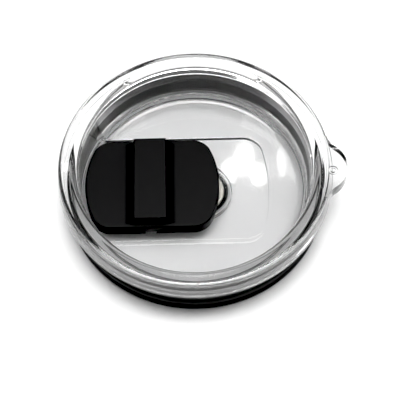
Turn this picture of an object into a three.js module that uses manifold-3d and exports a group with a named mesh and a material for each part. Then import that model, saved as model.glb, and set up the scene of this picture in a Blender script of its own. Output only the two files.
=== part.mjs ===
// Press-in lid for an insulated tumbler: a clear moulded lid with a thumb tab, a black silicone lip gasket
// and a black slider that magnets hold shut or open.
// Millimetres, +Z up. The origin is on the lid's axis, in the plane where the flange sits on the tumbler's
// lip. +X points to the thumb tab and the drinking opening is at -X.

import * as THREE from "three";
import { mergeVertices } from "three/addons/utils/BufferGeometryUtils.js";
import Module from "manifold-3d";

const wasm = await Module();
wasm.setup();

// Driving dimensions
const FLANGE_RADIUS = 45.8; // the flange's foot, which covers a tumbler lip 88.9 mm across
const FLANGE_TOP_RADIUS = 45.1; // its side leans in a little, for the mould
const FLANGE_TOP = 7.1; // height of the flange above the lip
const FLANGE_EDGE = 1.2; // rounding of the flange's top edge
const FLANGE_FOOT_EDGE = 0.4;
const SEAT_INNER_RADIUS = 43.9; // the flat ring that rests on the tumbler's lip
const SEAT_RECESS = 0.4; // the underside inside that ring lies this much higher
const RIM_INNER_RADIUS = 39.6; // where the rim's top turns down into the well
const WALL_LOW_RADIUS = 37.3; // the well's wall, just above the corner to the floor
const WALL_LOW_Z = -6.4;
const FLOOR_EDGE_RADIUS = 34;
const FLOOR_Z = -9;
const FLOOR_THICKNESS = 2.6;
const SKIRT_BOTTOM = -14.3;
const SKIRT_INNER_RADIUS = 39;
const GASKET_SEAT_RADIUS = 42.1; // the wall that the gasket is stretched over
const GASKET_LIP_RADIUS = 42.7; // the bead under the gasket
const GASKET_LIP_HEIGHT = 0.6;
const GASKET_TOP = -1;
const GASKET_RADIUS = 43;
const GASKET_RIB_RADIUS = 43.6;
const GASKET_RIBS = 3;
const GAP = 0.3; // clearance between neighbouring pieces

const SLIDER_LEFT = -37.2; // the slider's ends when it is shut
const SLIDER_RIGHT = 8.1;
const SLIDER_HALF_WIDTH = 16.9;
const SLIDER_END_RADIUS = 32;
const SLIDER_CORNER = 4.4;
const SLIDER_TOP = -5.2; // top of the slider's flat ends
const SLIDER_TRAVEL = 16; // shut to open; the joint's range
const RIDGE_LEFT = -20.7; // the finger ridge across the slider
const RIDGE_RIGHT = -9.6;
const RIDGE_TOP = -1.4;
const RIDGE_INSET = 1.5; // the ridge stops this far short of the slider's sides
const NICK_HALF_LENGTH = 1.8; // a nick in the foot of each long side, under the ridge
const NICK_DEPTH = 0.9;
const NICK_HEIGHT = 1.5;
const SHELL_WALL = 1.6; // the slider shell's side wall round its base plate
const BASE_THICKNESS = 1.1;

const CHANNEL_DEPTH = 1.2; // the slider runs in a shallow channel in the floor
const CHANNEL_LEFT = -38;
const CHANNEL_RIGHT = 24.9;
const CHANNEL_HALF_WIDTH = 19.6;
const CHANNEL_LEFT_RADIUS = 38; // its left end follows the well's wall and notches it
const CHANNEL_RIGHT_RADIUS = 65;
const CHANNEL_CORNER = 6.5;
const NOTCH_TOP = 5;

const TAB_REACH = 50.4; // the thumb tab's tip, from the lid's axis
const TAB_RADIUS = 9.5;
const TAB_FILLET = 7;
const TAB_TURN = -2.8; // degrees about the lid's axis
const TAB_BOTTOM = 2;
const TAB_DROP = 0.15; // the tab's face lies this far under the rim's top

const OPENING_LEFT = -34; // the drinking opening
const OPENING_LENGTH = 9.6;
const OPENING_HALF_WIDTH = 9.5;
const OPENING_CORNER = 3.5;
const VENT_X = -24.6; // the vent is beside the opening, and the slider covers both
const VENT_Y = 13.8;
const VENT_RADIUS = 1.2;

const OPEN_MAGNET_X = 1.5; // the lid's two magnets lie one slider travel apart
const CLOSED_MAGNET_X = OPEN_MAGNET_X - SLIDER_TRAVEL;
const CARRIER_RADIUS = 9.6;
const CARRIER_WALL = 1.1;
const CARRIER_FLOOR = 0.9;
const CARRIER_BOTTOM = -13.9;
const POCKET_SKIN = 1; // clear plastic left between the channel and the magnets
const BOSS_WALL = 1;
const SLIDER_MAGNET_LENGTH = 8; // along X
const SLIDER_MAGNET_WIDTH = 11;
const SLIDER_MAGNET_HEIGHT = 2;
const SLIDER_MAGNET_Y = 7.5;

const ROUND_STEPS = 72; // facets of a full turn
const ARC_STEPS = 4; // facets of a small rounding
const OUTLINE_STEPS = 6; // facets of one arc of an extruded outline
const OVERRUN = 2; // how far a cutter reaches past the face it cuts

const CHANNEL_FLOOR = FLOOR_Z - CHANNEL_DEPTH;
const SLIDER_BOTTOM = CHANNEL_FLOOR + GAP;
const FLOOR_UNDERSIDE = FLOOR_Z - FLOOR_THICKNESS;

// Joins and cuts

function solid(geometry) {
  const bare = new THREE.BufferGeometry();
  bare.setAttribute("position", geometry.getAttribute("position"));
  bare.setIndex(geometry.getIndex());
  const merged = mergeVertices(bare, 1e-4);
  const index = merged.getIndex().array;
  const corners = [];
  for (let i = 0; i < index.length; i += 3) {
    const [a, b, c] = [index[i], index[i + 1], index[i + 2]];
    if (a !== b && b !== c && c !== a) corners.push(a, b, c); // a lathe's triangles vanish on its axis
  }
  const vertProperties = new Float32Array(merged.getAttribute("position").array);
  const triVerts = new Uint32Array(corners);
  return new wasm.Manifold(new wasm.Mesh({ numProp: 3, vertProperties, triVerts }));
}

function node(name, body, color, roughness, metalness = 0, opacity = 1) {
  const { vertProperties, triVerts } = body.getMesh();
  const geometry = new THREE.BufferGeometry();
  geometry.setAttribute("position", new THREE.BufferAttribute(vertProperties, 3));
  geometry.setIndex(new THREE.BufferAttribute(triVerts, 1));
  geometry.computeVertexNormals();
  const transparent = opacity < 1;
  const material = new THREE.MeshStandardMaterial({ color, roughness, metalness, opacity, transparent });
  const mesh = new THREE.Mesh(geometry, material);
  mesh.name = name;
  return mesh;
}

// Outlines and simple solids

function arc(x, z, radius, from, to, steps = ARC_STEPS) {
  const points = [];
  for (let i = 0; i <= steps; i++) {
    const angle = THREE.MathUtils.degToRad(from + ((to - from) * i) / steps);
    points.push(new THREE.Vector2(x + radius * Math.cos(angle), z + radius * Math.sin(angle)));
  }
  return points;
}

const point = (x, z) => new THREE.Vector2(x, z);

// A profile of (radius, height) points, turned about Z.
function turned(profile) {
  return solid(new THREE.LatheGeometry(profile, ROUND_STEPS).rotateX(Math.PI / 2));
}

function prism(shape, bottom, top) {
  const settings = { depth: top - bottom, bevelEnabled: false, curveSegments: OUTLINE_STEPS };
  return solid(new THREE.ExtrudeGeometry(shape, settings).translate(0, 0, bottom));
}

// A straight-sided outline whose two ends bulge, with rounded corners: the shape of the slider and its channel.
function bulgedOutline(left, right, halfWidth, corner, leftRadius, rightRadius) {
  const cornerY = halfWidth - corner;
  const end = (radius) => {
    const reach = Math.sqrt((radius - corner) ** 2 - cornerY ** 2);
    return { reach, turn: Math.atan2(cornerY, reach) };
  };
  const atLeft = end(leftRadius);
  const atRight = end(rightRadius);
  const leftX = left + leftRadius;
  const rightX = right - rightRadius;
  const shape = new THREE.Shape();
  shape.absarc(rightX, 0, rightRadius, -atRight.turn, atRight.turn, false);
  shape.absarc(rightX + atRight.reach, cornerY, corner, atRight.turn, Math.PI / 2, false);
  shape.absarc(leftX - atLeft.reach, cornerY, corner, Math.PI / 2, Math.PI - atLeft.turn, false);
  shape.absarc(leftX, 0, leftRadius, Math.PI - atLeft.turn, Math.PI + atLeft.turn, false);
  shape.absarc(leftX - atLeft.reach, -cornerY, corner, Math.PI + atLeft.turn, 1.5 * Math.PI, false);
  shape.absarc(rightX + atRight.reach, -cornerY, corner, 1.5 * Math.PI, 2 * Math.PI - atRight.turn, false);
  return shape;
}

function sliderOutline(inset) {
  const halfWidth = SLIDER_HALF_WIDTH - inset;
  const corner = SLIDER_CORNER - inset / 2;
  const radius = SLIDER_END_RADIUS;
  return bulgedOutline(SLIDER_LEFT + inset, SLIDER_RIGHT - inset, halfWidth, corner, radius, radius);
}

function stadium(left, right, radius) {
  const shape = new THREE.Shape();
  shape.absarc(right, 0, radius, -Math.PI / 2, Math.PI / 2, false);
  shape.absarc(left, 0, radius, Math.PI / 2, 1.5 * Math.PI, false);
  return shape;
}

function roundedBox(left, right, low, high, corner) {
  const shape = new THREE.Shape();
  shape.absarc(right - corner, high - corner, corner, 0, Math.PI / 2, false);
  shape.absarc(left + corner, high - corner, corner, Math.PI / 2, Math.PI, false);
  shape.absarc(left + corner, low + corner, corner, Math.PI, 1.5 * Math.PI, false);
  shape.absarc(right - corner, low + corner, corner, 1.5 * Math.PI, 2 * Math.PI, false);
  return shape;
}

// The clear lid

function lidShell() {
  const edge = FLANGE_EDGE;
  const foot = FLANGE_FOOT_EDGE;
  const lipTop = SKIRT_BOTTOM + GASKET_LIP_HEIGHT;
  const cornerRadius = 0.5 * (WALL_LOW_RADIUS - FLOOR_EDGE_RADIUS);
  return turned([
    point(0, FLOOR_UNDERSIDE),
    point(SKIRT_INNER_RADIUS - 1, FLOOR_UNDERSIDE),
    point(SKIRT_INNER_RADIUS, FLOOR_UNDERSIDE - 1),
    point(SKIRT_INNER_RADIUS, SKIRT_BOTTOM),
    point(GASKET_LIP_RADIUS - GASKET_LIP_HEIGHT / 2, SKIRT_BOTTOM),
    point(GASKET_LIP_RADIUS, SKIRT_BOTTOM + GASKET_LIP_HEIGHT / 2),
    point(GASKET_LIP_RADIUS, lipTop),
    point(GASKET_SEAT_RADIUS, lipTop),
    point(GASKET_SEAT_RADIUS, SEAT_RECESS),
    point(SEAT_INNER_RADIUS, SEAT_RECESS),
    point(SEAT_INNER_RADIUS, 0),
    point(FLANGE_RADIUS - foot, 0),
    point(FLANGE_RADIUS, foot),
    ...arc(FLANGE_TOP_RADIUS - edge, FLANGE_TOP - edge, edge, 0, 90),
    ...arc(RIM_INNER_RADIUS + edge, FLANGE_TOP - 2 * edge, 1.6 * edge, 90, 170),
    point(WALL_LOW_RADIUS, WALL_LOW_Z),
    point(WALL_LOW_RADIUS - 0.3 * cornerRadius, WALL_LOW_Z - cornerRadius),
    point(FLOOR_EDGE_RADIUS + 0.7 * cornerRadius, FLOOR_Z + 0.2 * cornerRadius),
    point(FLOOR_EDGE_RADIUS, FLOOR_Z),
    point(0, FLOOR_Z),
  ]);
}

function tab() {
  const centre = TAB_REACH - TAB_RADIUS;
  const waist = TAB_RADIUS + TAB_FILLET; // from the tab's centre to the centres of its concave corners
  const far = FLANGE_TOP_RADIUS + TAB_FILLET;
  const x = (far ** 2 - waist ** 2 + centre ** 2) / (2 * centre);
  const y = Math.sqrt(far ** 2 - x ** 2);
  const inward = Math.atan2(-y, -x);
  const toTab = Math.atan2(-y, centre - x);
  const outward = Math.atan2(y, x - centre);
  const shape = new THREE.Shape();
  shape.moveTo(GASKET_SEAT_RADIUS, 0);
  shape.absarc(x, -y, TAB_FILLET, -inward, -toTab, true);
  shape.absarc(centre, 0, TAB_RADIUS, -outward, outward, false);
  shape.absarc(x, y, TAB_FILLET, toTab, inward, true);
  return prism(shape, TAB_BOTTOM, FLANGE_TOP - TAB_DROP).rotate([0, 0, TAB_TURN]);
}

function channelCutter() {
  const sizes = [CHANNEL_HALF_WIDTH, CHANNEL_CORNER, CHANNEL_LEFT_RADIUS, CHANNEL_RIGHT_RADIUS];
  return prism(bulgedOutline(CHANNEL_LEFT, CHANNEL_RIGHT, ...sizes), CHANNEL_FLOOR, NOTCH_TOP);
}

function openingCutter() {
  const right = OPENING_LEFT + OPENING_LENGTH;
  const mouth = roundedBox(OPENING_LEFT, right, -OPENING_HALF_WIDTH, OPENING_HALF_WIDTH, OPENING_CORNER);
  const vent = new THREE.Shape().absarc(VENT_X, VENT_Y, VENT_RADIUS, 0, 2 * Math.PI, false);
  const bottom = FLOOR_UNDERSIDE - OVERRUN;
  const top = CHANNEL_FLOOR + OVERRUN;
  return prism(mouth, bottom, top).add(prism(vent, bottom, top));
}

function lidBody() {
  const pocket = stadium(CLOSED_MAGNET_X, OPEN_MAGNET_X, CARRIER_RADIUS + GAP);
  const boss = stadium(CLOSED_MAGNET_X, OPEN_MAGNET_X, CARRIER_RADIUS + GAP + BOSS_WALL);
  return lidShell()
    .add(tab())
    .add(prism(boss, CARRIER_BOTTOM, FLOOR_UNDERSIDE + BOSS_WALL))
    .subtract(channelCutter())
    .subtract(prism(pocket, CARRIER_BOTTOM - OVERRUN, CHANNEL_FLOOR - POCKET_SKIN))
    .subtract(openingCutter());
}

// The gasket: a sleeve with ribs that grip the inside of the tumbler

function lipGasket() {
  const inner = GASKET_SEAT_RADIUS + GAP;
  const bottom = SKIRT_BOTTOM + GASKET_LIP_HEIGHT + GAP;
  const top = GASKET_TOP;
  const pitch = (top - bottom) / GASKET_RIBS;
  const profile = [point(inner, bottom)];
  for (let i = 0; i < GASKET_RIBS; i++) {
    const low = bottom + i * pitch;
    profile.push(point(GASKET_RADIUS, low + 0.05 * pitch));
    profile.push(point(GASKET_RIB_RADIUS, low + 0.18 * pitch));
    profile.push(point(GASKET_RIB_RADIUS, low + 0.42 * pitch));
    profile.push(point(GASKET_RADIUS, low + 0.6 * pitch));
  }
  profile.push(point(GASKET_RADIUS, top), point(inner, top), point(inner, bottom));
  return turned(profile);
}

// The magnets' carrier under the floor, and its two magnets

function magnetCarrier() {
  const top = CHANNEL_FLOOR - POCKET_SKIN - GAP;
  const cup = stadium(CLOSED_MAGNET_X, OPEN_MAGNET_X, CARRIER_RADIUS);
  const hollow = stadium(CLOSED_MAGNET_X, OPEN_MAGNET_X, CARRIER_RADIUS - CARRIER_WALL);
  return prism(cup, CARRIER_BOTTOM, top).subtract(prism(hollow, CARRIER_BOTTOM + CARRIER_FLOOR, top + OVERRUN));
}

// side is -1 for the magnet that holds the slider shut and 1 for the one that holds it open.
function lidMagnet(side) {
  const top = CHANNEL_FLOOR - POCKET_SKIN - GAP;
  const bottom = CARRIER_BOTTOM + CARRIER_FLOOR + GAP;
  const radius = CARRIER_RADIUS - CARRIER_WALL - GAP;
  const middle = 0.5 * (CLOSED_MAGNET_X + OPEN_MAGNET_X);
  const whole = prism(stadium(CLOSED_MAGNET_X, OPEN_MAGNET_X, radius), bottom, top);
  const near = middle + side * GAP;
  const far = middle + side * (SLIDER_TRAVEL + radius);
  const half = roundedBox(Math.min(near, far), Math.max(near, far), -radius - GAP, radius + GAP, GAP);
  return whole.intersect(prism(half, bottom - OVERRUN, top + OVERRUN));
}

// The slider

function ridge() {
  const height = RIDGE_TOP - SLIDER_TOP;
  const foot = 0.92 * height; // the radius of the hollows at the ridge's foot
  const edge = height - foot;
  const shape = new THREE.Shape([
    point(RIDGE_LEFT - foot, SLIDER_TOP - BASE_THICKNESS),
    point(RIDGE_RIGHT + foot, SLIDER_TOP - BASE_THICKNESS),
    ...arc(RIDGE_RIGHT + foot, SLIDER_TOP + foot, foot, 270, 180, OUTLINE_STEPS),
    point(RIDGE_RIGHT - edge, RIDGE_TOP),
    point(RIDGE_LEFT + edge, RIDGE_TOP),
    ...arc(RIDGE_LEFT - foot, SLIDER_TOP + foot, foot, 360, 270, OUTLINE_STEPS),
  ]);
  const halfWidth = SLIDER_HALF_WIDTH - RIDGE_INSET;
  const geometry = new THREE.ExtrudeGeometry(shape, { depth: 2 * halfWidth, bevelEnabled: false });
  return solid(geometry.translate(0, 0, -halfWidth).rotateX(Math.PI / 2));
}

function magnetBlock(y, grow) {
  const halfLength = SLIDER_MAGNET_LENGTH / 2 + grow;
  const halfWidth = SLIDER_MAGNET_WIDTH / 2 + grow;
  const middle = CLOSED_MAGNET_X;
  return roundedBox(middle - halfLength, middle + halfLength, y - halfWidth, y + halfWidth, 1 + grow);
}

const PLATE_TOP = SLIDER_BOTTOM + BASE_THICKNESS;
const MAGNET_BOTTOM = PLATE_TOP + GAP;
const MAGNET_TOP = MAGNET_BOTTOM + SLIDER_MAGNET_HEIGHT;

// side is -1 for the nick in the front side wall and 1 for the one in the rear.
function nick(side) {
  const size = [2 * NICK_HALF_LENGTH, 2 * NICK_DEPTH, 2 * NICK_HEIGHT];
  const box = new THREE.BoxGeometry(...size).translate(0, side * SLIDER_HALF_WIDTH, SLIDER_BOTTOM);
  return solid(box.translate(0.5 * (RIDGE_LEFT + RIDGE_RIGHT), 0, 0));
}

function sliderShell() {
  const slot = prism(sliderOutline(SHELL_WALL), SLIDER_BOTTOM - OVERRUN, MAGNET_BOTTOM);
  let shell = prism(sliderOutline(0), SLIDER_BOTTOM, SLIDER_TOP).add(ridge()).subtract(slot);
  for (const y of [-SLIDER_MAGNET_Y, SLIDER_MAGNET_Y]) {
    shell = shell.subtract(prism(magnetBlock(y, GAP), SLIDER_BOTTOM, MAGNET_TOP + GAP));
  }
  return shell.subtract(nick(-1)).subtract(nick(1));
}

const sliderBase = () => prism(sliderOutline(SHELL_WALL + GAP), SLIDER_BOTTOM, PLATE_TOP);
const sliderMagnet = (y) => prism(magnetBlock(y, 0), MAGNET_BOTTOM, MAGNET_TOP);

// The assembly

const CLEAR = 0xe9eeee;
const SILICONE = 0x0c0c0d;
const SLIDER_BLACK = 0x1b1b1c;
const CARRIER_BLACK = 0x121213;
const NICKEL = 0xc3c3bf;

const lid = new THREE.Group();
lid.add(
  node("lid_body", lidBody(), CLEAR, 0.05, 0, 0.35),
  node("lip_gasket", lipGasket(), SILICONE, 0.6),
  node("magnet_carrier", magnetCarrier(), CARRIER_BLACK, 0.5),
  node("lid_magnet_closed", lidMagnet(-1), NICKEL, 0.25, 1),
  node("lid_magnet_open", lidMagnet(1), NICKEL, 0.25, 1),
  node("slider_shell", sliderShell(), SLIDER_BLACK, 0.55),
  node("slider_base", sliderBase(), SLIDER_BLACK, 0.6),
  node("slider_magnet_front", sliderMagnet(-SLIDER_MAGNET_Y), NICKEL, 0.25, 1),
  node("slider_magnet_rear", sliderMagnet(SLIDER_MAGNET_Y), NICKEL, 0.25, 1),
);

export default lid;
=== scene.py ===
# %% [markdown]
# # A clear tumbler lid with a magnetic slider
# The lid is a press-in lid for an insulated tumbler: one clear moulded body with a thumb tab, a black
# ribbed gasket round its skirt, and a black slider that magnets hold shut or open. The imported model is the
# frame: every piece goes where its nodes say. The first cell loads it and keeps its box, because the looks
# that follow may not grow past it.

import math

import bmesh
import bpy
from mathutils import Matrix, Vector


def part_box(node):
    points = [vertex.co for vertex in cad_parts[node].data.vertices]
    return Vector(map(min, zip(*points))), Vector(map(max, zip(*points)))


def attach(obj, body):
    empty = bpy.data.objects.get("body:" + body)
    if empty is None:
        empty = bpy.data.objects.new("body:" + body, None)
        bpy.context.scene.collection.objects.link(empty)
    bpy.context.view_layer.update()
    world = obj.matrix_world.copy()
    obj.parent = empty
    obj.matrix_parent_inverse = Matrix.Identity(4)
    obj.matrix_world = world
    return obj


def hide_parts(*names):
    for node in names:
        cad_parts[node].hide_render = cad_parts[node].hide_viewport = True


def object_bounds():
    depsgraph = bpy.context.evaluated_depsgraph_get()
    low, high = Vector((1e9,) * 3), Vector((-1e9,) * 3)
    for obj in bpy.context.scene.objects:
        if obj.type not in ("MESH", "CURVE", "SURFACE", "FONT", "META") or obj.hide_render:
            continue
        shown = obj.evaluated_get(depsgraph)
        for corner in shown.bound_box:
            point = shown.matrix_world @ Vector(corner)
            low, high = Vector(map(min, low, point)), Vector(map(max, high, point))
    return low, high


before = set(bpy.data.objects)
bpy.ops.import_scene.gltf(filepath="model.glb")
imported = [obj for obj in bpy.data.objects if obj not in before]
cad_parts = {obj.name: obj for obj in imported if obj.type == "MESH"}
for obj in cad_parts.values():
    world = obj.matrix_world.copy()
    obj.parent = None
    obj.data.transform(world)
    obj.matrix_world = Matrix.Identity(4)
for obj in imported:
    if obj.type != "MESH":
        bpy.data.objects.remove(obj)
cad_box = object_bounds()
print("nodes:", sorted(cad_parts))

# %% [markdown]
# ## Sizes
# Millimetres are easier to read than metres, so all shapes are drawn in millimetres and turned to metres
# once, when a piece is finished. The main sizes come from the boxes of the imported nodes. The inner sizes,
# which a box can't tell, are those of the lid's drawing, and each is named where it is first needed.

# %% Read the main sizes from the frame
def node_box(node):
    """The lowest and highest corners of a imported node, in millimetres."""
    low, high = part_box(node)
    return Vector(low) * 1000, Vector(high) * 1000

lid_low, lid_high = node_box("lid_body")
gasket_low, gasket_high = node_box("lip_gasket")
slider_low, slider_high = node_box("slider_shell")
plate_low, plate_high = node_box("slider_base")
carrier_low, carrier_high = node_box("magnet_carrier")

GAP = 0.3  # between neighbours that are welded, glued or slide on each other
FLANGE_RADIUS = -lid_low.y
FLANGE_TOP = lid_high.z
SKIRT_BOTTOM = lid_low.z
CHANNEL_DEPTH = 1.2
FLOOR_THICKNESS = 2.6
CHANNEL_FLOOR = slider_low.z - GAP
FLOOR = CHANNEL_FLOOR + CHANNEL_DEPTH
UNDERSIDE = FLOOR - FLOOR_THICKNESS
print("flange", round(2 * FLANGE_RADIUS, 1), "mm across, floor at", round(FLOOR, 2))

# %% [markdown]
# ## Helpers
# Holes and joints are made with the exact Boolean. A fast Boolean would do for a rough shape, but on clear
# plastic every stray facet shows, and the exact one keeps flat faces flat.

# %% Boolean of two shapes
def combine(first, second, operation):
    """Joins or cuts two closed bmesh shapes and returns the result as a new one."""
    objects = []
    for shape in (first, second):
        mesh = bpy.data.meshes.new("scratch")
        bmesh.ops.recalc_face_normals(shape, faces=shape.faces)
        shape.to_mesh(mesh)
        shape.free()
        objects.append(bpy.data.objects.new("scratch", mesh))
        bpy.context.collection.objects.link(objects[-1])
    cut = objects[0].modifiers.new("cut", "BOOLEAN")
    cut.solver = "EXACT"
    cut.operation = operation
    cut.object = objects[1]
    bpy.context.view_layer.update()
    result = bmesh.new()
    result.from_object(objects[0], bpy.context.evaluated_depsgraph_get())
    for scratch in objects:
        mesh = scratch.data
        bpy.data.objects.remove(scratch)
        bpy.data.meshes.remove(mesh)
    bmesh.ops.remove_doubles(result, verts=result.verts, dist=1e-3)
    return result

# %% [markdown]
# Round parts are spun from a profile, as on a lathe. The corners are rounded before the spin, on the line,
# because each can then have its own radius, and the spin carries the rounding all the way round.

# %% Turned shapes
def turned(corners, steps=192):
    """Spins a closed profile about Z. Each corner is (radius, height, how far its rounding reaches)."""
    shape = bmesh.new()
    verts = [shape.verts.new((radius, 0, height)) for radius, height, _ in corners]
    for a, b in zip(verts, verts[1:] + verts[:1]):
        if a.co.x > 0 or b.co.x > 0:
            shape.edges.new((a, b))
    for vert, (_, _, reach) in zip(verts, corners):
        if reach:
            segments = 10 if reach > 1 else 5 if reach > 0.25 else 2
            bmesh.ops.bevel(shape, geom=[vert], offset=reach, segments=segments, profile=0.5,
                            affect="VERTICES", material=-1)
    bmesh.ops.spin(shape, geom=shape.verts[:] + shape.edges[:], cent=(0, 0, 0), axis=(0, 0, 1),
                   angle=2 * math.pi, steps=steps, use_merge=True)
    bmesh.ops.remove_doubles(shape, verts=shape.verts, dist=1e-3)
    bmesh.ops.recalc_face_normals(shape, faces=shape.faces)
    return shape

# %% [markdown]
# The slider and its channel share one kind of outline: a box with rounded corners whose ends bulge. A grid
# face gives the box and a bevel rounds its corners. The bulge then only moves each point of an end along X.

# %% Flat outlines
def outline(left, right, half_width, corner, left_bulge=0, right_bulge=0, height=0):
    """A flat face: a box with rounded corners, whose ends can bulge to an arc of a given radius."""
    shape = bmesh.new()
    bmesh.ops.create_grid(shape, x_segments=1, y_segments=1, size=0.5)
    bmesh.ops.scale(shape, vec=(right - left, 2 * half_width, 1), verts=shape.verts)
    bmesh.ops.translate(shape, vec=((left + right) / 2, 0, height), verts=shape.verts)
    bmesh.ops.bevel(shape, geom=shape.verts[:], offset=min(corner, half_width), segments=12, profile=0.5,
                    affect="VERTICES", material=-1)
    bmesh.ops.remove_doubles(shape, verts=shape.verts, dist=1e-3)
    ends = [e for e in shape.edges if abs(e.verts[0].co.x - e.verts[1].co.x) < 1e-3]
    bmesh.ops.subdivide_edges(shape, edges=ends, cuts=24)
    middle = (left + right) / 2
    for vert in shape.verts:
        bulge = right_bulge if vert.co.x > middle else left_bulge
        if bulge:
            across = min(abs(vert.co.y), half_width)
            depth = bulge - math.sqrt(bulge ** 2 - across ** 2)
            vert.co.x += -depth if vert.co.x > middle else depth
    return shape

# %% [markdown]
# An outline becomes a solid by an extrusion. The operator must be given the faces and their edges, or it
# leaves the old faces inside as an inner wall, which would show in clear plastic. Sharp edges are then
# found by their height and rounded with a bevel.

# %% Extrude, raise and round
def extruded(shape, faces, move):
    """Extrudes faces and moves the copy. Returns its faces and corners."""
    edges = list({edge for face in faces for edge in face.edges})
    made = bmesh.ops.extrude_face_region(shape, geom=faces + edges)["geom"]
    verts = [v for v in made if isinstance(v, bmesh.types.BMVert)]
    bmesh.ops.translate(shape, vec=move, verts=verts)
    return [f for f in made if isinstance(f, bmesh.types.BMFace)], verts

def raised(shape, height):
    """Raises a flat face straight up into a solid."""
    extruded(shape, shape.faces[:], (0, 0, height))
    bmesh.ops.recalc_face_normals(shape, faces=shape.faces)
    return shape

def flat_edges(shape, height):
    """The outline edges of a solid at one height."""
    level = [e for e in shape.edges if all(abs(v.co.z - height) < 1e-3 for v in e.verts)]
    return [e for e in level if any(abs(f.normal.z) < 0.7 for f in e.link_faces)]

def round_edges(shape, edges, radius, segments=4):
    """Rounds edges with a bevel."""
    bmesh.ops.bevel(shape, geom=edges, offset=radius, segments=segments, profile=0.5, affect="EDGES",
                    material=-1, clamp_overlap=True)

# %% [markdown]
# A finished shape becomes an object at the origin: doubles are merged, the faces are made to point
# outwards, and millimetres become metres. Sharp edges are marked by their angle, and normals are weighed by
# face area, which keeps the flats of a glossy moulding flat right up to their rounded edges.

# %% Finish a piece
def piece(name, shape, body, material, nodes, sharp=35):
    """Makes a bmesh in millimetres into an object in metres that rides on a body."""
    bmesh.ops.remove_doubles(shape, verts=shape.verts, dist=1e-3)
    bmesh.ops.recalc_face_normals(shape, faces=shape.faces)
    open_edges = sum(1 for e in shape.edges if not e.is_manifold)
    bmesh.ops.scale(shape, vec=(0.001, 0.001, 0.001), verts=shape.verts)
    mesh = bpy.data.meshes.new(name)
    shape.to_mesh(mesh)
    shape.free()
    mesh.shade_smooth()
    mesh.set_sharp_from_angle(angle=math.radians(sharp))
    mesh.materials.append(material)
    new = bpy.data.objects.new(name, mesh)
    bpy.context.collection.objects.link(new)
    weigh = new.modifiers.new("flat faces stay flat", "WEIGHTED_NORMAL")
    weigh.keep_sharp = True
    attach(new, body)
    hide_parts(*nodes)
    print(name, len(mesh.polygons), "faces,", open_edges, "open edges")

# %% [markdown]
# ## Materials
# A material is a small graph of shader nodes. Colours are given as sRGB hex, the way a paint chip is read,
# and one function turns them to the linear values that the shader wants. A pattern's size is given in
# millimetres, and one more function adds a node with its settings and links.

# %% Colour, scale and node helpers
def rgb(value):
    """An sRGB hex colour as linear red, green, blue and alpha."""
    channels = [((value >> shift) & 255) / 255 for shift in (16, 8, 0)]
    return [c / 12.92 if c <= 0.04045 else ((c + 0.055) / 1.055) ** 2.4 for c in channels] + [1]

def every(millimetres):
    """The scale, to the nearest ten, of a noise whose spots come about every so many millimetres."""
    return round(1000 / millimetres, -1)

def add(tree, kind, inputs=None, **settings):
    """Adds a node. An input is a value or another node's output socket."""
    node = tree.nodes.new(kind)
    for key, value in settings.items():
        setattr(node, key, value)
    for key, value in (inputs or {}).items():
        if isinstance(value, bpy.types.NodeSocket):
            tree.links.new(value, node.inputs[key])
        else:
            node.inputs[key].default_value = value
    return node

def new_material(name):
    """An empty material and its node tree."""
    made = bpy.data.materials.new(name)
    made.use_nodes = True
    made.node_tree.nodes.clear()
    return made, made.node_tree

print("mid grey 0x808080 is", round(rgb(0x808080)[0], 3), "in linear light")

# %% [markdown]
# ### Clear copolyester
# The lid is injection-moulded copolyester, the tough clear plastic of drinkware. Its index of refraction is
# about 1.57 and its surface is a polished mould's, so it is a transmitting Principled shader that is nearly
# smooth. Real mouldings are never quite flat: they shrink as they cool, so a slow ripple of about 14 mm
# bends reflections a little. Fine rub marks of about a millimetre spread the gloss on worn parts. The
# plastic takes a little light on its way through, which gives the thick flange more grey than the thin
# floor.

# %% Clear copolyester
def clear_copolyester():
    made, tree = new_material("clear_copolyester")
    place = add(tree, "ShaderNodeTexCoord").outputs["Object"]
    ripple = add(tree, "ShaderNodeTexNoise", {"Vector": place, "Scale": every(14), "Detail": 1})
    rubs = add(tree, "ShaderNodeTexNoise", {"Vector": place, "Scale": every(1.11), "Detail": 3})
    gloss = add(tree, "ShaderNodeMapRange", {"Value": rubs.outputs["Fac"], "From Min": 0.35, "From Max": 0.75,
                                             "To Min": 0.015, "To Max": 0.06})
    bump = add(tree, "ShaderNodeBump", {"Height": ripple.outputs["Fac"], "Strength": 0.015,
                                        "Distance": 0.0006})
    shader = add(tree, "ShaderNodeBsdfPrincipled", {
        "Base Color": rgb(0xFDFDFD), "Roughness": gloss.outputs["Result"], "IOR": 1.57,
        "Transmission Weight": 1.0, "Normal": bump.outputs["Normal"]})
    grey = add(tree, "ShaderNodeVolumeAbsorption", {"Color": rgb(0x000000), "Density": 10})
    add(tree, "ShaderNodeOutputMaterial", {"Surface": shader.outputs["BSDF"],
                                           "Volume": grey.outputs["Volume"]})
    return made

clear_plastic = clear_copolyester()
print("made", clear_plastic.name)

# %% [markdown]
# ### Black silicone
# Silicone rubber is cured in a mould that is sandblasted a little, so it is black with a soft, wide sheen.
# Dust and skin oil leave faint paler clouds a few millimetres wide, and the blasted mould a grain of about
# 0.2 mm.

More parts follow.
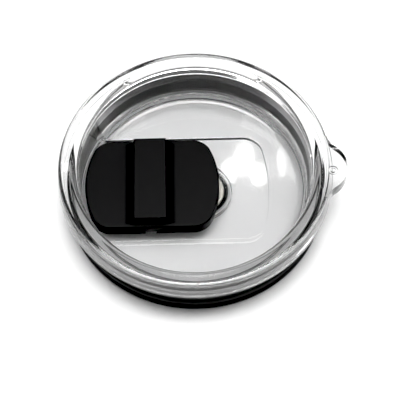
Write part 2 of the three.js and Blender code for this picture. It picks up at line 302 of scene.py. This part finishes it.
# %% Black silicone
def black_silicone():
    made, tree = new_material("black_moulded_silicone")
    place = add(tree, "ShaderNodeTexCoord").outputs["Object"]
    clouds = add(tree, "ShaderNodeTexNoise", {"Vector": place, "Scale": every(3.8), "Detail": 4})
    tone = add(tree, "ShaderNodeMix", {"Factor": clouds.outputs["Fac"], "A": rgb(0x090909),
                                       "B": rgb(0x121212)}, data_type="RGBA")
    gloss = add(tree, "ShaderNodeMapRange", {"Value": clouds.outputs["Fac"], "To Min": 0.5, "To Max": 0.65})
    grain = add(tree, "ShaderNodeTexNoise", {"Vector": place, "Scale": every(0.2), "Detail": 2})
    bump = add(tree, "ShaderNodeBump", {"Height": grain.outputs["Fac"], "Strength": 0.25,
                                        "Distance": 0.00008})
    shader = add(tree, "ShaderNodeBsdfPrincipled", {
        "Base Color": tone.outputs["Result"], "Roughness": gloss.outputs["Result"], "IOR": 1.43,
        "Specular IOR Level": 0.2, "Normal": bump.outputs["Normal"]})
    add(tree, "ShaderNodeOutputMaterial", {"Surface": shader.outputs["BSDF"]})
    return made

silicone = black_silicone()
print("made", silicone.name)

# %% [markdown]
# ### Black moulded ABS
# The slider is black ABS from a spark-eroded mould, whose texture is an even grit of about 0.15 mm. That is
# too fine to show, so it is drawn at 0.24 mm. It scatters the light, so the flats read as dark grey rather
# than black. Handling polishes the grit, which shows as slow changes of gloss about 9 mm wide. The magnets'
# carrier is the same plastic from a smoother mould.

# %% Textured black ABS
def black_abs(name, dark, pale, rough):
    made, tree = new_material(name)
    place = add(tree, "ShaderNodeTexCoord").outputs["Object"]
    grit = add(tree, "ShaderNodeTexNoise", {"Vector": place, "Scale": every(0.238), "Detail": 2})
    handling = add(tree, "ShaderNodeTexNoise", {"Vector": place, "Scale": every(9), "Detail": 4})
    tone = add(tree, "ShaderNodeMix", {"Factor": handling.outputs["Fac"], "A": rgb(dark), "B": rgb(pale)},
               data_type="RGBA")
    gloss = add(tree, "ShaderNodeMapRange", {"Value": handling.outputs["Fac"], "To Min": rough - 0.06,
                                             "To Max": rough + 0.08})
    bump = add(tree, "ShaderNodeBump", {"Height": grit.outputs["Fac"], "Strength": 0.3, "Distance": 0.0001})
    shader = add(tree, "ShaderNodeBsdfPrincipled", {
        "Base Color": tone.outputs["Result"], "Roughness": gloss.outputs["Result"], "IOR": 1.46,
        "Specular IOR Level": 0.17, "Normal": bump.outputs["Normal"]})
    add(tree, "ShaderNodeOutputMaterial", {"Surface": shader.outputs["BSDF"]})
    return made

slider_plastic = black_abs("black_textured_abs", 0x080808, 0x0F0F10, 0.46)
carrier_plastic = black_abs("black_satin_abs", 0x080809, 0x101011, 0.32)
print("made", slider_plastic.name, "and", carrier_plastic.name)

# %% [markdown]
# ### Nickel plating
# Neodymium magnets are plated with nickel, a warm grey metal. The blocks are tumbled before plating, which
# leaves a fine satin finish with soft spots about half a millimetre wide.

# %% Nickel plating
def nickel_plating():
    made, tree = new_material("tumbled_nickel_plating")
    place = add(tree, "ShaderNodeTexCoord").outputs["Object"]
    spots = add(tree, "ShaderNodeTexNoise", {"Vector": place, "Scale": every(0.5), "Detail": 3})
    gloss = add(tree, "ShaderNodeMapRange", {"Value": spots.outputs["Fac"], "To Min": 0.38, "To Max": 0.55})
    shader = add(tree, "ShaderNodeBsdfPrincipled", {
        "Base Color": rgb(0xCBC8C0), "Metallic": 1.0, "Roughness": gloss.outputs["Result"]})
    add(tree, "ShaderNodeOutputMaterial", {"Surface": shader.outputs["BSDF"]})
    return made

nickel = nickel_plating()
print("made", nickel.name)

# %% [markdown]
# ## The clear lid
# The lid is mostly a turned shape: a flange that sits on the tumbler's lip, a well, a floor and a skirt. A
# lathe profile is the natural way to make it, so the section is drawn as one closed line, each corner is
# rounded by its own amount, and the line is spun round the axis. Clear plastic shows every facet twice, in
# its reflections and in what it bends, so the spin has 512 steps.

# %% Spin the lid's section
WALL_FOOT_RADIUS, WALL_FOOT_HEIGHT = 37.3, -6.4
WALL_LEAN = 0.141           # the well's wall leans out by this much for each millimetre of height
MOUTH_HEIGHT, MOUTH_FLARE = 6.35, 0.1
CREST_RADIUS = 43.9         # the flange's top is highest here and falls a little to both sides
FLANGE_TAPER = 0.7
SKIRT_INNER_RADIUS = 39
SEAT_RADIUS = 42.1          # the gasket lies round the skirt at this radius
LIP_RADIUS, LIP_HEIGHT = 42.7, 0.6  # the skirt's small lip keeps the gasket on
RECESS_RADIUS, RECESS = 43.9, 0.4   # the flange is hollowed above the gasket's top

def wall_radius(height):
    """The radius of the well's wall at a height."""
    return WALL_FOOT_RADIUS + WALL_LEAN * (height - WALL_FOOT_HEIGHT)

lid = turned([
    (0, UNDERSIDE, 0),
    (SKIRT_INNER_RADIUS, UNDERSIDE, 0.9),
    (SKIRT_INNER_RADIUS, SKIRT_BOTTOM, 0.3),
    (LIP_RADIUS, SKIRT_BOTTOM, 0.3),
    (LIP_RADIUS, SKIRT_BOTTOM + LIP_HEIGHT, 0.15),
    (SEAT_RADIUS, SKIRT_BOTTOM + LIP_HEIGHT, 0),
    (SEAT_RADIUS, RECESS, 0.3),
    (RECESS_RADIUS, RECESS, 0.15),
    (RECESS_RADIUS, 0, 0.15),
    (FLANGE_RADIUS, 0, 0.3),
    (FLANGE_RADIUS - FLANGE_TAPER, FLANGE_TOP - 0.1, 1.2),
    (CREST_RADIUS, FLANGE_TOP, 0.3),
    (wall_radius(MOUTH_HEIGHT) + MOUTH_FLARE, FLANGE_TOP - 0.65, 1.9),
    (wall_radius(FLOOR), FLOOR, 2.7),
    (0, FLOOR, 0),
], steps=512)
print("lid section spun:", len(lid.faces), "faces")

# %% [markdown]
# The thumb tab is a flat tongue whose outline flows into the flange through two hollow corners. It could be
# cut from a block with round cutters, but slivers would stay where the arcs touch. Instead one corner is
# spun round three centres in turn, and the line it leaves is the outline.

# %% Draw the thumb tab
TAB_REACH, TAB_RADIUS = 50.4, 9.5
TAB_HOLLOW = 7
TAB_BOTTOM, TAB_TOP = 2.0, FLANGE_TOP - 0.15
TAB_ROOT = 42  # the tab starts inside the flange, at this X
TAB_TURN = math.radians(-2.8)

def thumb_tab():
    """The tab's outline: a hollow, the round end and the other hollow, raised and rounded."""
    centre = TAB_REACH - TAB_RADIUS
    rim = FLANGE_RADIUS - FLANGE_TAPER
    far = rim + TAB_HOLLOW
    waist = TAB_RADIUS + TAB_HOLLOW
    x = (far ** 2 - waist ** 2 + centre ** 2) / (2 * centre)
    y = math.sqrt(far ** 2 - x ** 2)
    foot_x, foot_y = x * rim / far, y * rim / far  # where a hollow leaves the flange
    hollow_sweep = math.atan2(y, centre - x) - math.atan2(y, -x)
    end_sweep = 2 * math.atan2(y, x - centre)
    tab = bmesh.new()
    start = last = tab.verts.new((foot_x, -foot_y, TAB_BOTTOM))
    for middle_x, middle_y, sweep, steps in ((x, -y, hollow_sweep, 16), (centre, 0, end_sweep, 48),
                                             (x, y, hollow_sweep, 16)):
        arc = bmesh.ops.spin(tab, geom=[last], cent=(middle_x, middle_y, TAB_BOTTOM), axis=(0, 0, 1),
                             angle=sweep, steps=steps)
        last = next(v for v in arc["geom_last"] if isinstance(v, bmesh.types.BMVert))
    root = [tab.verts.new((TAB_ROOT, side * foot_y, TAB_BOTTOM)) for side in (1, -1)]
    for first, second in ((last, root[0]), (root[0], root[1]), (root[1], start)):
        tab.edges.new((first, second))
    bmesh.ops.contextual_create(tab, geom=tab.edges[:])
    raised(tab, TAB_TOP - TAB_BOTTOM)
    for height, radius, segments in ((TAB_TOP, 0.8, 8), (TAB_BOTTOM, 0.45, 4)):
        outer = [e for e in flat_edges(tab, height) if max(v.co.x for v in e.verts) > foot_x + 0.1]
        round_edges(tab, outer, radius, segments)
    bmesh.ops.rotate(tab, cent=(0, 0, 0), matrix=Matrix.Rotation(TAB_TURN, 3, "Z"), verts=tab.verts)
    return tab

lid = combine(lid, thumb_tab(), "UNION")
print("tab joined:", len(lid.faces), "faces")

# %% [markdown]
# On top of the tab there is the mark of the mould's gate, where the plastic flowed in and was cut off. It
# is a ring-shaped groove: a disc minus a smaller disc makes the cutter.

# %% Cut the gate mark
GATE_X, GATE_Y = 45.4, -3.6
GATE_RADIUS, GATE_CORE_RADIUS, GATE_DEPTH = 1.6, 0.8, 0.75

def disc(x, y, radius, low, high, steps=32):
    """An upright cylinder from low to high."""
    shape = bmesh.new()
    bmesh.ops.create_cone(shape, cap_ends=True, segments=steps, radius1=radius, radius2=radius,
                          depth=high - low)
    bmesh.ops.translate(shape, vec=(x, y, (low + high) / 2), verts=shape.verts)
    return shape

groove_bottom = TAB_TOP - GATE_DEPTH
groove = combine(disc(GATE_X, GATE_Y, GATE_RADIUS, groove_bottom, TAB_TOP + 1),
                 disc(GATE_X, GATE_Y, GATE_CORE_RADIUS, groove_bottom - 1, TAB_TOP + 2), "DIFFERENCE")
lid = combine(lid, groove, "DIFFERENCE")
print("gate mark", 2 * GATE_RADIUS, "mm across")

# %% [markdown]
# In the floor there is the slider's shallow channel. It runs into the well's wall with nearly square
# corners and ends in front of the tab with round ones, so it is cut twice: once with each kind of corner.
# Moulded edges are never knife-sharp, so the cutter flares at its top edge, and the rounding it leaves
# catches the light as the thin bright line round the channel.

# %% Cut the channel
CHANNEL_LEFT, CHANNEL_RIGHT, CHANNEL_HALF = -38.3, 24.9, 19.6
CHANNEL_NOTCH_TOP = 5  # the channel's left end is cut into the wall up to this height
CHANNEL_EDGE = 0.45    # how far its top edge is rounded
CHANNEL_CORNER, CHANNEL_BULGE = 5.2, 65  # of its right end
WALL_CORNER = 0.8      # of its left end, at the wall

def channel_cutter(right, corner, right_bulge, steps=5):
    """The channel's outline, raised in steps that flare out at the height of the floor."""
    cutter = outline(CHANNEL_LEFT, right, CHANNEL_HALF, corner, -CHANNEL_LEFT, right_bulge, CHANNEL_FLOOR)
    top = cutter.faces[:]
    centre = Vector(((CHANNEL_LEFT + right) / 2, 0, 0))
    half_length = (right - CHANNEL_LEFT) / 2
    angles = [math.pi / 2 * i / steps for i in range(steps + 1)]
    levels = [(FLOOR - CHANNEL_EDGE * (1 - math.sin(a)), CHANNEL_EDGE * (1 - math.cos(a))) for a in angles]
    levels.append((CHANNEL_NOTCH_TOP, CHANNEL_EDGE))
    height, grown = CHANNEL_FLOOR, 0
    for level, grow in levels:
        top, verts = extruded(cutter, top, (0, 0, level - height))
        wide = ((half_length + grow) / (half_length + grown),
                (CHANNEL_HALF + grow) / (CHANNEL_HALF + grown), 1)
        bmesh.ops.scale(cutter, vec=wide, space=Matrix.Translation(-centre), verts=verts)
        height, grown = level, grow
    bmesh.ops.recalc_face_normals(cutter, faces=cutter.faces)
    return cutter

# %% [markdown]
# Under the floor there is a boss with a pocket for the magnets' carrier. Both are the carrier's own
# round-ended outline, grown a little. In the channel's left end lie the drinking opening and a small vent
# that lets air in as the drink flows out.

# %% Add the boss and cut the channel, the pocket, the drinking opening and the vent
BOSS_WALL = 1.0
OPENING_LEFT, OPENING_RIGHT, OPENING_HALF, OPENING_CORNER = -34, -24.4, 9.5, 3.5
VENT_X, VENT_Y, VENT_RADIUS = -24.6, 13.8, 1.2

def stadium(grow, low, high):
    """The carrier's round-ended outline, grown and raised from low to high."""
    radius = carrier_high.y + grow
    flat = outline(carrier_low.x - grow, carrier_high.x + grow, radius, radius, height=low)
    return raised(flat, high - low)

boss = stadium(GAP + BOSS_WALL, carrier_low.z, UNDERSIDE + 1)
round_edges(boss, flat_edges(boss, carrier_low.z), 0.3)
lid = combine(lid, boss, "UNION")
lid = combine(lid, channel_cutter(CHANNEL_RIGHT, CHANNEL_CORNER, CHANNEL_BULGE), "DIFFERENCE")
lid = combine(lid, channel_cutter(0, WALL_CORNER, 0), "DIFFERENCE")
lid = combine(lid, stadium(GAP, carrier_low.z - 2, carrier_high.z + GAP), "DIFFERENCE")
opening = outline(OPENING_LEFT, OPENING_RIGHT, OPENING_HALF, OPENING_CORNER, height=UNDERSIDE - 2)
lid = combine(lid, raised(opening, 6), "DIFFERENCE")
lid = combine(lid, disc(VENT_X, VENT_Y, VENT_RADIUS, UNDERSIDE - 2, FLOOR + 1), "DIFFERENCE")
bmesh.ops.dissolve_limit(lid, angle_limit=math.radians(0.1), verts=lid.verts, edges=lid.edges)
piece("lid_clear_body", lid, "lid", clear_plastic, ["lid_body"])

# %% [markdown]
# ## The gasket
# The gasket is a silicone sleeve stretched round the skirt. Its three ribs fold a little as the lid goes
# in. It is turned like the lid, from a section with soft corners. Over a band of its height it is stretched
# tight and wets the clear skirt, so no film of air is left there and its black shows through the wall.
# Elsewhere a thin film of air mirrors the wall instead.

# %% Spin the gasket
AIR_FILM = 0.3
GRIP_RADIUS = SEAT_RADIUS - 0.02  # a hair inside the skirt, so that no film is left
GRIP_BOTTOM, GRIP_TOP = -7.4, -3.4
GRIP_STEP = 0.2
RIB_DEPTH = 0.6
RIBS = 3

gasket_inner = SEAT_RADIUS + AIR_FILM
rib_radius = gasket_high.x
neck_radius = rib_radius - RIB_DEPTH
pitch = (gasket_high.z - gasket_low.z) / RIBS
section = [(gasket_inner, GRIP_BOTTOM - GRIP_STEP, 0), (gasket_inner, gasket_low.z, 0.1)]
for rib in range(RIBS):
    foot = gasket_low.z + rib * pitch
    section += [(neck_radius + 0.2, foot + 0.02 * pitch, 0.12), (rib_radius, foot + 0.14 * pitch, 0.25),
                (rib_radius, foot + 0.4 * pitch, 0.35), (neck_radius, foot + 0.62 * pitch, 0.5)]
section += [(neck_radius, gasket_high.z, 0.1), (gasket_inner, gasket_high.z, 0.1),
            (gasket_inner, GRIP_TOP + GRIP_STEP, 0), (GRIP_RADIUS, GRIP_TOP, 0),
            (GRIP_RADIUS, GRIP_BOTTOM, 0)]
piece("gasket_sleeve", turned(section, 224), "lid", silicone, ["lip_gasket"], 50)

# %% [markdown]
# ## The magnets and their carrier
# Two magnet blocks lie in a black cup that is welded into the boss. The cup is a round-ended outline,
# raised, with its top inset and pushed down, which is quicker than a Boolean and leaves an even wall.

# %% Carrier cup
CUP_WALL, CUP_FLOOR = 1.1, 0.9

def carrier_cup():
    cup = stadium(0, carrier_low.z, carrier_high.z)
    top = [f for f in cup.faces if f.normal.z > 0.9]
    bmesh.ops.inset_region(cup, faces=top, thickness=CUP_WALL, use_even_offset=True)
    extruded(cup, top, (0, 0, carrier_low.z + CUP_FLOOR - carrier_high.z))
    round_edges(cup, flat_edges(cup, carrier_low.z), 0.3, 3)
    return cup

piece("magnet_carrier_cup", carrier_cup(), "lid", carrier_plastic, ["magnet_carrier"])

# %% [markdown]
# The lid's two blocks fill the cup, so each has one round end and one straight end. A round-ended outline
# is drawn longer than the block and then cut to its box. The slider's two blocks are plain, with small
# corners. Plated edges are rounded by tumbling, so all of them get a small bevel.

# %% Magnet blocks
def block(left, right, front, back, low, high):
    """A box between six planes."""
    shape = bmesh.new()
    bmesh.ops.create_cube(shape, size=1)
    bmesh.ops.scale(shape, vec=(right - left, back - front, high - low), verts=shape.verts)
    middle = ((left + right) / 2, (front + back) / 2, (low + high) / 2)
    bmesh.ops.translate(shape, vec=middle, verts=shape.verts)
    return shape

def plated_block(node, round_end=0, spare=12):
    """A plated block that fills its node's box, with one round end where round_end is -1 or 1."""
    low, high = node_box(node)
    half = (high.y - low.y) / 2
    if round_end:
        left, right = (low.x, high.x + spare) if round_end < 0 else (low.x - spare, high.x)
        shape = raised(outline(left, right, half, half, height=low.z), high.z - low.z)
        shape = combine(shape, block(low.x, high.x, -half - 1, half + 1, low.z - 1, high.z + 1), "INTERSECT")
    else:
        shape = raised(outline(low.x, high.x, half, 1, height=low.z), high.z - low.z)
        bmesh.ops.translate(shape, vec=(0, (low.y + high.y) / 2, 0), verts=shape.verts)
    for height in (low.z, high.z):
        round_edges(shape, flat_edges(shape, height), 0.15, 2)
    return shape

for node, side in (("lid_magnet_closed", -1), ("lid_magnet_open", 1)):
    piece("plated_" + node, plated_block(node, side), "lid", nickel, [node])
for node in ("slider_magnet_front", "slider_magnet_rear"):
    piece("plated_" + node, plated_block(node), "slider", nickel, [node])

# %% [markdown]
# ## The slider
# The slider's shell is a flat plate with bulging ends and a ridge for the thumb across it. The plate is its
# outline raised with a rounded top edge. The ridge is a section with two hollow feet, drawn once and
# extruded across the plate, because its shape is the same all the way along.

# %% Draw the ridge and the plate
END_RADIUS = 32
PLATE_CORNER = 3.6
RIDGE_LEFT, RIDGE_RIGHT, RIDGE_HEIGHT = -20.7, -9.6, 3.8
RIDGE_FOOT = 3.3   # how far a hollow foot reaches out on the plate
RIDGE_DRAFT = 0.1  # the sides lean, so that the shell leaves its mould
RIDGE_END = 1.5    # the ridge stops this far from the plate's edge
PLATE_TOP = slider_high.z - RIDGE_HEIGHT

def ridge():
    """The ridge's section in X and Z, extruded along Y."""
    top, half = slider_high.z, slider_high.y - RIDGE_END
    shape = bmesh.new()
    points = [(RIDGE_LEFT - RIDGE_FOOT, PLATE_TOP - 1), (RIDGE_RIGHT + RIDGE_FOOT, PLATE_TOP - 1),
              (RIDGE_RIGHT + RIDGE_FOOT, PLATE_TOP), (RIDGE_RIGHT + RIDGE_DRAFT, PLATE_TOP),
              (RIDGE_RIGHT, top), (RIDGE_LEFT, top),
              (RIDGE_LEFT - RIDGE_DRAFT, PLATE_TOP), (RIDGE_LEFT - RIDGE_FOOT, PLATE_TOP)]
    verts = [shape.verts.new((x, -half, z)) for x, z in points]
    shape.faces.new(verts)
    for foot_corner in (verts[3], verts[6]):
        bmesh.ops.bevel(shape, geom=[foot_corner], offset=RIDGE_FOOT - 0.05, segments=12, profile=0.5,
                        affect="VERTICES", material=-1)
    tops = [v for v in shape.verts if abs(v.co.z - top) < 1e-3]
    bmesh.ops.bevel(shape, geom=tops, offset=0.45, segments=4, profile=0.5, affect="VERTICES", material=-1)
    bmesh.ops.remove_doubles(shape, verts=shape.verts, dist=1e-3)
    extruded(shape, shape.faces[:], (0, 2 * half, 0))
    bmesh.ops.recalc_face_normals(shape, faces=shape.faces)
    return shape

def slider_plate(inset, low, high):
    """The slider's outline, raised from low to high."""
    flat = outline(slider_low.x + inset, slider_high.x - inset, slider_high.y - inset,
                   PLATE_CORNER - inset / 2, END_RADIUS, END_RADIUS, height=low)
    return raised(flat, high - low)

print("ridge", round(RIDGE_RIGHT - RIDGE_LEFT, 1), "mm wide, plate",
      round(slider_high.x - slider_low.x, 1), "mm long")

# %% [markdown]
# Underneath, the shell is cut out for the base plate and the magnets. A nick in the middle of each long
# edge is where a fingernail lifts the slider off for washing.

# %% Build the slider's shell
SHELL_WALL = 1.6
NICK_HALF, NICK_REACH, NICK_HEIGHT = 1.8, 0.9, 1.5

shell = slider_plate(0, slider_low.z, PLATE_TOP)
round_edges(shell, flat_edges(shell, PLATE_TOP), 0.6)
round_edges(shell, flat_edges(shell, slider_low.z), 0.25, 2)
shell = combine(shell, ridge(), "UNION")
shell = combine(shell, slider_plate(SHELL_WALL, slider_low.z - 2, plate_high.z + GAP), "DIFFERENCE")
for node in ("slider_magnet_front", "slider_magnet_rear"):
    low, high = node_box(node)
    pocket = block(low.x - GAP, high.x + GAP, low.y - GAP, high.y + GAP, slider_low.z, high.z + GAP)
    shell = combine(shell, pocket, "DIFFERENCE")
nick_x = (RIDGE_LEFT + RIDGE_RIGHT) / 2
for side in (-1, 1):
    edge = side * slider_high.y
    nick = block(nick_x - NICK_HALF, nick_x + NICK_HALF, edge - NICK_REACH, edge + NICK_REACH,
                 slider_low.z - 1, slider_low.z + NICK_HEIGHT)
    shell = combine(shell, nick, "DIFFERENCE")
piece("slider_top_shell", shell, "slider", slider_plastic, ["slider_shell"], 30)

# %% [markdown]
# The base plate closes the shell from below. It is the same outline, set in by the shell's wall and the
# gap.

# %% Slider base plate
base = slider_plate(SHELL_WALL + GAP, plate_low.z, plate_high.z)
round_edges(base, flat_edges(base, plate_low.z), 0.2, 2)
piece("slider_base_plate", base, "slider", slider_plastic, ["slider_base"])

# %% [markdown]
# ## Table
# The lid stands on a plain white table. It is matt, so that nothing but the lid's own shadow shows on it,
# and it lies at the height of the skirt's bottom.

# %% Table
def white_table():
    made, tree = new_material("white_table")
    shader = add(tree, "ShaderNodeBsdfPrincipled", {"Base Color": rgb(0xFAFAFA), "Roughness": 0.9,
                                                    "Specular IOR Level": 0.1})
    add(tree, "ShaderNodeOutputMaterial", {"Surface": shader.outputs["BSDF"]})
    return made

table_shape = bmesh.new()
bmesh.ops.create_grid(table_shape, x_segments=1, y_segments=1, size=3)
bmesh.ops.translate(table_shape, vec=(0, 0, cad_box[0][2]), verts=table_shape.verts)
table_mesh = bpy.data.meshes.new("table")
table_shape.to_mesh(table_mesh)
table_shape.free()
table_mesh.materials.append(white_table())
floor = bpy.data.objects.new("table", table_mesh)
bpy.context.collection.objects.link(floor)
print("table at", round(cad_box[0][2] * 1000, 1), "mm")

# %% [markdown]
# ## Light
# Clear plastic is drawn by what it reflects and bends, so the room matters more than the lid. The walls are
# pale and the ceiling is dim, so that glossy tops stay dark. A wide soft light hangs overhead, a little
# behind the lid, so that the slider's shadow falls forward onto the floor, and a weak strip lights the
# right side.

# %% Room and soft lights
def area_light(name, azimuth, elevation, distance, width, height, watts, shape="RECTANGLE"):
    """A soft light that faces the lid. Angles are in degrees and sizes in metres."""
    data = bpy.data.lights.new(name, "AREA")
    data.shape = shape
    data.size, data.size_y = width, height
    data.energy = watts
    lamp = bpy.data.objects.new(name, data)
    a, e = math.radians(azimuth), math.radians(elevation)
    lamp.location = (distance * math.cos(e) * math.cos(a), distance * math.cos(e) * math.sin(a),
                     distance * math.sin(e))
    lamp.rotation_euler = Vector(lamp.location).to_track_quat("Z", "Y").to_euler()
    bpy.context.collection.objects.link(lamp)
    return lamp

def studio_room():
    """Pale walls that darken smoothly to a dim ceiling."""
    world = bpy.data.worlds.new("studio_room")
    world.use_nodes = True
    tree = world.node_tree
    tree.nodes.clear()
    place = add(tree, "ShaderNodeTexCoord")
    parts = add(tree, "ShaderNodeSeparateXYZ", {"Vector": place.outputs["Generated"]})
    level = add(tree, "ShaderNodeMapRange", {"Value": parts.outputs["Z"], "From Min": 0.3, "From Max": 0.75,
                                             "To Min": 0.75, "To Max": 0.1}, interpolation_type="SMOOTHSTEP")
    light = add(tree, "ShaderNodeBackground", {"Color": (1, 1, 1, 1), "Strength": level.outputs["Result"]})
    add(tree, "ShaderNodeOutputWorld", {"Surface": light.outputs["Background"]})
    return world

bpy.context.scene.world = studio_room()
area_light("softbox_overhead", azimuth=90, elevation=84, distance=1.6, width=1.4, height=0.9, watts=32.5,
           shape="ELLIPSE")
area_light("strip_right", azimuth=5, elevation=38, distance=1.2, width=0.3, height=0.8, watts=2.5)
print("lit", bpy.context.scene.world.name)

# %% [markdown]
# The spark on the floor of the well is the reflection of a bright window behind the lid, broken up as if by
# leaves in front of it. Six small round lights stand for its bright patches. They are far too small to
# light the lid, so they only show where the gloss mirrors them.

# %% Window behind the lid
PANES = [  # where each patch is in X and Y, its width and its height, in millimetres
    (-8, 16, 26, 50), (-28, -4, 24, 34), (10, -12, 24, 34),
    (45, 12, 14, 50), (62, -2, 12, 36), (85, -4, 26, 22),
]
WINDOW_SHIFT = Vector((0.019, 0.008, -0.009))
WATTS_PER_SQUARE_METRE = 5 * math.pi

for x, y, width, height in PANES:
    width, height = width / 1000, height / 1000
    pane = area_light("window_pane", azimuth=85.4, elevation=59.1, distance=1.4, width=width, height=height,
                      watts=WATTS_PER_SQUARE_METRE * width * height, shape="ELLIPSE")
    pane.location += WINDOW_SHIFT + Vector((x, y, 0)) / 1000
print(len(PANES), "window panes")

# %% [markdown]
# ## Camera
# The camera looks down at 59 degrees from less than half a metre, with a long lens, so the round rim shows
# as a calm ellipse. It aims a little in front of the rim's centre and towards the tab, because the lid
# hangs below its rim and the tab stands out on one side. A plain view transform keeps the white white, and
# a small black level deepens the black parts.

# %% Camera and view
RIM_CENTRE = Vector((0, 0, FLANGE_TOP / 1000))
ELEVATION = math.radians(59)
ROLL, PITCH, YAW = math.radians(-1.3), math.radians(-1.55721), math.radians(-0.22069)
DISTANCE = 0.445
BLACK_LEVEL = 0.02

camera_data = bpy.data.cameras.new("camera")
camera_data.lens = 121.5
camera_data.sensor_width = 36
camera = bpy.data.objects.new("camera", camera_data)
back = Vector((0, -math.cos(ELEVATION), math.sin(ELEVATION)))
look = back.to_track_quat("Z", "Y").to_matrix()
for angle, axis in ((ROLL, "Z"), (PITCH, "X"), (YAW, "Y")):
    look = look @ Matrix.Rotation(angle, 3, axis)
camera.matrix_world = Matrix.Translation(RIM_CENTRE + DISTANCE * back) @ look.to_4x4()
bpy.context.collection.objects.link(camera)
bpy.context.scene.camera = camera

view = bpy.context.scene.view_settings
view.view_transform = "Standard"
view.use_curve_mapping = True
view.curve_mapping.black_level = (BLACK_LEVEL, BLACK_LEVEL, BLACK_LEVEL)
print("camera", round(DISTANCE * 1000), "mm from the rim")

# %% [markdown]
# ## Sizes for the record
# The box of the imported model is printed in millimetres. The looks must not have grown.

# %% Print the imported model's box
print("packed box", [[round(v * 1000, 1) for v in corner] for corner in cad_box])
